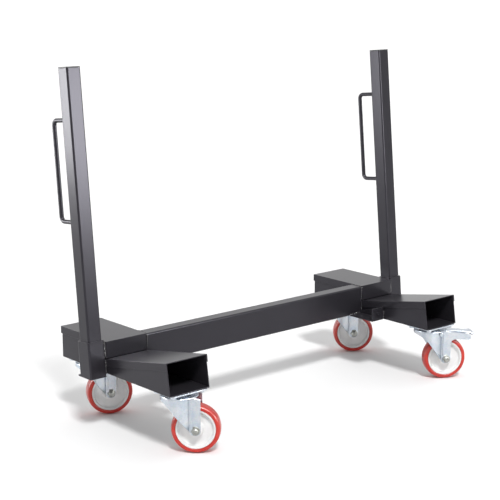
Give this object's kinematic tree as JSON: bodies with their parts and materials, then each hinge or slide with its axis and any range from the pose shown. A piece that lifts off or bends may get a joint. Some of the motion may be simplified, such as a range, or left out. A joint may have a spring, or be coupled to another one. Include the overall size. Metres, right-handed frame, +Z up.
{
  "type": "board trolley",
  "caption": "Board and panel trolley: a spine beam between two end frames with open sloping feet, leaning lift-out uprights with grab handles, on swivel castors, some with a brake pedal.",
  "frame": {"origin": "on the floor at the middle of the overall size, castors trailing as they stand", "axes": "+X along the spine beam to the end with the brake pedals, +Y from the open feet to the rear arms, +Z up"},
  "size_m": [1.4048, 0.6224, 1.1342],
  "materials": {
    "black_coat": "satin black powder coat",
    "black_plastic": "matt moulded",
    "zinc_plate": "bright zinc plate",
    "white_nylon": "natural white nylon",
    "red_polyurethane": "glossy polyurethane tread"
  },
  "bodies": {
    "chassis": {"spine_beam": "black_coat", "arm_shell_left": "black_coat", "arm_cover_left": "black_coat", "foot_shell_left": "black_coat", "foot_cover_left": "black_coat", "corner_bracket_left": "black_coat", "socket_left": "black_coat", "arm_shell_right": "black_coat", "arm_cover_right": "black_coat", "foot_shell_right": "black_coat", "foot_cover_right": "black_coat", "corner_bracket_right": "black_coat", "socket_right": "black_coat", "castor_plate_front_left": "zinc_plate", "upper_race_front_left": "zinc_plate", "kingpin_front_left": "zinc_plate", "castor_plate_rear_left": "zinc_plate", "upper_race_rear_left": "zinc_plate", "kingpin_rear_left": "zinc_plate", "castor_plate_front_right": "zinc_plate", "upper_race_front_right": "zinc_plate", "kingpin_front_right": "zinc_plate", "castor_plate_rear_right": "zinc_plate", "upper_race_rear_right": "zinc_plate", "kingpin_rear_right": "zinc_plate"},
    "upright_left": {"upright_left": "black_coat", "upright_cap_left": "black_plastic", "handle_left": "black_coat"},
    "upright_right": {"upright_right": "black_coat", "upright_cap_right": "black_plastic", "handle_right": "black_coat"},
    "swivel_front_left": {"fork_front_left": "zinc_plate", "axle_bolt_front_left": "zinc_plate", "axle_sleeve_front_left": "zinc_plate"},
    "wheel_front_left": {"wheel_core_front_left": "white_nylon", "tyre_front_left": "red_polyurethane"},
    "swivel_rear_left": {"fork_rear_left": "zinc_plate", "axle_bolt_rear_left": "zinc_plate", "axle_sleeve_rear_left": "zinc_plate"},
    "wheel_rear_left": {"wheel_core_rear_left": "white_nylon", "tyre_rear_left": "red_polyurethane"},
    "swivel_front_right": {"fork_front_right": "zinc_plate", "axle_bolt_front_right": "zinc_plate", "axle_sleeve_front_right": "zinc_plate", "brake_pin_front_right": "zinc_plate"},
    "wheel_front_right": {"wheel_core_front_right": "white_nylon", "tyre_front_right": "red_polyurethane"},
    "brake_front_right": {"brake_pedal_front_right": "zinc_plate", "brake_shoe_front_right": "zinc_plate"},
    "swivel_rear_right": {"fork_rear_right": "zinc_plate", "axle_bolt_rear_right": "zinc_plate", "axle_sleeve_rear_right": "zinc_plate", "brake_pin_rear_right": "zinc_plate"},
    "wheel_rear_right": {"wheel_core_rear_right": "white_nylon", "tyre_rear_right": "red_polyurethane"},
    "brake_rear_right": {"brake_pedal_rear_right": "zinc_plate", "brake_shoe_rear_right": "zinc_plate"}
  },
  "joints": [
    {"name": "upright_lift_left", "type": "slide", "parent": "chassis", "child": "upright_left", "axis": [0, 0.0941, 0.9956], "range_m": [0, 0.11]},
    {"name": "upright_lift_right", "type": "slide", "parent": "chassis", "child": "upright_right", "axis": [0, 0.0941, 0.9956], "range_m": [0, 0.11]},
    {"name": "castor_swivel_front_left", "type": "hinge", "parent": "chassis", "child": "swivel_front_left", "pos_m": [-0.56405, -0.20382, 0.178], "axis": [0, 0, 1], "continuous": true},
    {"name": "wheel_spin_front_left", "type": "hinge", "parent": "swivel_front_left", "child": "wheel_front_left", "pos_m": [-0.52809, -0.23855, 0.075], "axis": [0.6947, 0.7193, 0], "continuous": true},
    {"name": "castor_swivel_rear_left", "type": "hinge", "parent": "chassis", "child": "swivel_rear_left", "pos_m": [-0.56405, 0.24618, 0.178], "axis": [0, 0, 1], "continuous": true},
    {"name": "wheel_spin_rear_left", "type": "hinge", "parent": "swivel_rear_left", "child": "wheel_rear_left", "pos_m": [-0.51838, 0.22584, 0.075], "axis": [0.4067, 0.9135, 0], "continuous": true},
    {"name": "castor_swivel_front_right", "type": "hinge", "parent": "chassis", "child": "swivel_front_right", "pos_m": [0.55795, -0.20382, 0.178], "axis": [0, 0, 1], "continuous": true},
    {"name": "wheel_spin_front_right", "type": "hinge", "parent": "swivel_front_right", "child": "wheel_front_right", "pos_m": [0.59988, -0.23105, 0.075], "axis": [0.5446, 0.8387, 0], "continuous": true},
    {"name": "brake_pedal_front_right", "type": "hinge", "parent": "swivel_front_right", "child": "brake_front_right", "pos_m": [0.58311, -0.22016, 0.166], "axis": [0.5446, 0.8387, 0], "range_deg": [0, 6]},
    {"name": "castor_swivel_rear_right", "type": "hinge", "parent": "chassis", "child": "swivel_rear_right", "pos_m": [0.55795, 0.24618, 0.178], "axis": [0, 0, 1], "continuous": true},
    {"name": "wheel_spin_rear_right", "type": "hinge", "parent": "swivel_rear_right", "child": "wheel_rear_right", "pos_m": [0.59681, 0.21471, 0.075], "axis": [0.6293, 0.7771, 0], "continuous": true},
    {"name": "brake_pedal_rear_right", "type": "hinge", "parent": "swivel_rear_right", "child": "brake_rear_right", "pos_m": [0.58126, 0.2273, 0.166], "axis": [0.6293, 0.7771, 0], "range_deg": [0, 6]}
  ]
}
